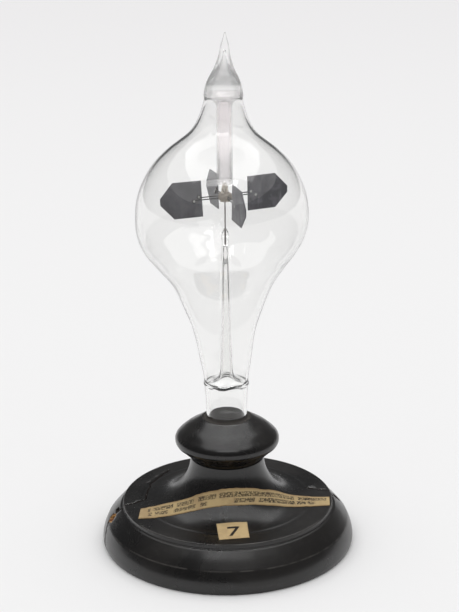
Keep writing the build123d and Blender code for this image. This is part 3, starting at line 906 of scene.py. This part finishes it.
def evenly(line, count):
    # The same line with its stations the same length apart
    points = [Vector(point) for point in line]
    lengths = [0.0]
    for before, after in zip(points, points[1:]):
        lengths.append(lengths[-1] + (after - before).length)
    spaced, index = [], 0
    for step in range(count + 1):
        reach = lengths[-1] * step / count
        while index < len(lengths) - 2 and lengths[index + 1] < reach:
            index += 1
        share = (reach - lengths[index]) / (lengths[index + 1] - lengths[index])
        spaced.append(points[index].lerp(points[index + 1], share))
    return spaced


def makeLabel(name, back, front, columns, rows, wear):
    # A grid of paper between two edges, laid on the wood that it is glued to
    bm = bmesh.new()
    bm.loops.layers.uv.new("paper")
    bmesh.ops.create_grid(bm, x_segments=columns, y_segments=rows, size=1, calc_uvs=True)
    for vert in bm.verts:
        along, across = (vert.co.x + 1) / 2, (vert.co.y + 1) / 2
        column = min(int(round(along * columns)), columns)
        place = front[column].lerp(back[column], across)
        fray = noise.noise(Vector((along * 40, across * 3, len(name)))) * wear
        toEdge = (across - 0.5) * 2
        place = place + (back[column] - front[column]).normalized() * fray * toEdge * abs(toEdge)
        cockle = 0.05 * noise.noise(Vector((place.x * 0.22, place.y * 0.35, 7.0)))
        vert.co = Vector((place.x, place.y, standTop(place.length) + labels["thickness"] + cockle)) * mm
    bmesh.ops.recalc_face_normals(bm, faces=bm.faces[:])
    piece = finishMesh(name, bm)
    modify(piece, "SOLIDIFY", thickness=labels["thickness"] * mm, offset=-1)
    return piece


def agedPaper(tree, coords, fresh):
    fibres = cloud(tree, coords, 1400, 4, 0.7)
    stains = ramp(tree, cloud(tree, coords, 130, 5, 0.6), 0.40, 0.70)
    colour = blendColour(tree, maths(tree, "MULTIPLY", stains, 0.65), fresh, labels["stain"])
    return blendColour(tree, maths(tree, "MULTIPLY", fibres, 0.25), colour, (0.70, 0.60, 0.42, 1)), fibres


def printedStrip(tree, coords):
    # Two rows of worn marks in groups, like small print that can no longer be read
    colour, fibres = agedPaper(tree, coords, labels["paper"])
    place = addNode(tree, "SeparateXYZ", {0: addNode(tree, "UVMap", uv_map="paper").outputs[0]}).outputs
    ink = None
    for level, start, end in ((0.70, 0.04, 0.985), (0.33, 0.045, 0.93)):
        row = ramp(tree, awayFrom(tree, place["Y"], level), 0.155, 0.125)
        along = maths(tree, "MULTIPLY", place["X"], 120)
        letters = addNode(tree, "CombineXYZ", {"X": along, "Y": place["Y"]}).outputs[0]
        shapes = cloud(tree, stretched(tree, letters, (1, 9, 1), place=(0, level, 0)), 1.0, 3, 0.7)
        strokes = ramp(tree, shapes, 0.44, 0.49)
        along = maths(tree, "MULTIPLY", place["X"], 26)
        words = addNode(tree, "CombineXYZ", {"X": along, "Y": level * 7}).outputs[0]
        gaps = ramp(tree, cloud(tree, words, 1.0, 0, 0.5), 0.36, 0.40)
        inside = maths(tree, "MULTIPLY", maths(tree, "GREATER_THAN", place["X"], start),
                       maths(tree, "LESS_THAN", place["X"], end))
        mask = maths(tree, "MULTIPLY", maths(tree, "MULTIPLY", row, strokes),
                     maths(tree, "MULTIPLY", gaps, inside))
        ink = mask if ink is None else maths(tree, "MAXIMUM", ink, mask)
    fade = ramp(tree, cloud(tree, coords, 160, 3), 0.30, 0.62, 1.0, 0.75)
    edge = ramp(tree, awayFrom(tree, place["Y"], 0.5), 0.36, 0.50)
    colour = blendColour(tree, maths(tree, "MULTIPLY", edge, 0.6), colour, labels["stain"])
    colour = blendColour(tree, maths(tree, "MULTIPLY", ink, fade), colour, labels["ink"])
    return {"Base Color": colour, "Normal": bump(tree, fibres, 0.3, 0.0001)}


def numberedPaper(tree, coords):
    # One bold figure, drawn from a bar and a slanted stroke
    colour, fibres = agedPaper(tree, coords, labels["numberPaper"])
    place = addNode(tree, "SeparateXYZ", {0: addNode(tree, "UVMap", uv_map="paper").outputs[0]}).outputs
    ragged = maths(tree, "MULTIPLY", maths(tree, "SUBTRACT", cloud(tree, coords, 1500, 3), 0.5), 0.03)
    across, up = maths(tree, "ADD", place["X"], ragged), maths(tree, "ADD", place["Y"], ragged)
    foot, top = labels["figureFoot"], labels["figureTop"]
    bar = maths(tree, "MULTIPLY", ramp(tree, awayFrom(tree, up, labels["figureBar"]), 0.060, 0.045),
                ramp(tree, awayFrom(tree, across, 0.50), 0.185, 0.170))
    line = maths(tree, "ADD", maths(tree, "MULTIPLY", maths(tree, "SUBTRACT", up, foot), 0.50), 0.40)
    reach = maths(tree, "MULTIPLY", maths(tree, "GREATER_THAN", up, foot), maths(tree, "LESS_THAN", up, top))
    slant = maths(tree, "MULTIPLY", ramp(tree, awayFrom(tree, across, line), 0.062, 0.048), reach)
    colour = blendColour(tree, maths(tree, "MAXIMUM", bar, slant), colour, labels["ink"])
    return {"Base Color": colour, "Normal": bump(tree, fibres, 0.3, 0.0001)}


def makeLabels():
    columns, rows = labels["stripGrid"]
    back = evenly(smoothLine(labels["stripBack"], 0.8), columns)
    front = evenly(smoothLine(labels["stripFront"], 0.8), columns)
    strip = makeLabel("captionStrip", back, front, columns, rows, labels["stripWear"])
    settle(strip, makeMaterial("printedStrip", {"Roughness": 0.85}, printedStrip))
    hold(strip, standBody, "aged_paper", "caption_strip")
    columns, rows = labels["numberGrid"]
    back, front = evenly(labels["numberBack"], columns), evenly(labels["numberFront"], columns)
    card = makeLabel("numberCard", back, front, columns, rows, labels["numberWear"])
    settle(card, makeMaterial("numberedPaper", {"Roughness": 0.85}, numberedPaper))
    hold(card, standBody, "aged_paper", "number_label")


# The rotor

hub = {
    "low": 141.7,
    "high": 144.7,
    "innerRadius": 1.95,
    "outerRadius": 2.65,
    "lumps": 0.55,
    "spinSteps": 64,
}


def makeHub():
    low, high, inner, outer = hub["low"], hub["high"], hub["innerRadius"], hub["outerRadius"]
    middle = (low + high) / 2
    knots = [(inner, low), (outer - 0.25, low + 0.35), (outer, middle), (outer - 0.3, high - 0.4),
             (inner - 0.15, high)]
    outerLine = smoothLine(knots, 0.3, (1, 0.1), (-1, 0.2))
    outline = [*outerLine, (inner - 0.1, middle), (inner, low)]
    piece = spun("hubLump", outline, hub["spinSteps"])
    for vert in piece.data.vertices:
        radius = Vector((vert.co.x, vert.co.y)).length / mm
        share = min(max((radius - inner) / 0.4, 0), 1)
        lump = noise.noise(vert.co * 620) + 0.5 * noise.noise(vert.co * 1500)
        vert.co.xy *= 1 + share * hub["lumps"] * 0.35 * lump
        vert.co.z += share * hub["lumps"] * 0.6 * mm * noise.noise(vert.co * 900 + Vector((5, 5, 5)))
    settle(piece, cementMaterial)
    hold(piece, rotorBody, "hub_cement", "hub_collar")


def finishNode(name, material):
    mesh = nodes[name].data
    mesh.materials.clear()
    mesh.materials.append(material)


def finishNodes():
    finishNode("socket_plaster", plasterMaterial)
    finishNode("needle", needleMaterial)
    finishNode("pivot_cap", capMaterial)
    for number in range(1, 5):
        finishNode(f"arm_{number}", armMaterial)
        finishNode(f"eyelets_{number}", wireMaterial)
        finishNode(f"vane_{number}", vaneMaterial)
        finishNode(f"mica_{number}", micaMaterial)


def paperWithPaintedFalloff(tree, coords):
    # Painted light: lighter near the middle and darker with distance, as falloff of the lamps' light
    reach = addNode(tree, "VectorMath", {0: coords}, operation="LENGTH").outputs["Value"]
    fade = ramp(tree, reach, *studio["floorLightFalloff"])
    return {"Base Color": blendColour(tree, fade, studio["floorNearLit"], studio["floorFarDim"])}


def makeFloor():
    bm = bmesh.new()
    bmesh.ops.create_grid(bm, x_segments=1, y_segments=1, size=studio["floorSize"])
    floor = finishMesh("studioFloor", bm)
    paper = makeMaterial("paperWithPaintedFalloff", {"Roughness": 1.0, "Specular IOR Level": 0.0}, paperWithPaintedFalloff)
    floor.data.materials.append(paper)


placeCamera()
lightStudio()
makeFloor()
print("studio ready")
splits = [splitCutter("leftSplitCutter", base["leftSplit"]),
          splitCutter("rightSplitCutter", base["rightSplit"])]
makeBase(splits)
makePedestal(splits)
for cutter in splits:
    bpy.data.objects.remove(cutter)
makeKnob()
makeLabels()
print("stand made")
makeBulb()
makeGuideTube()
makeStem()
print("glass made")
makeHub()
finishNodes()
print("rotor finished")
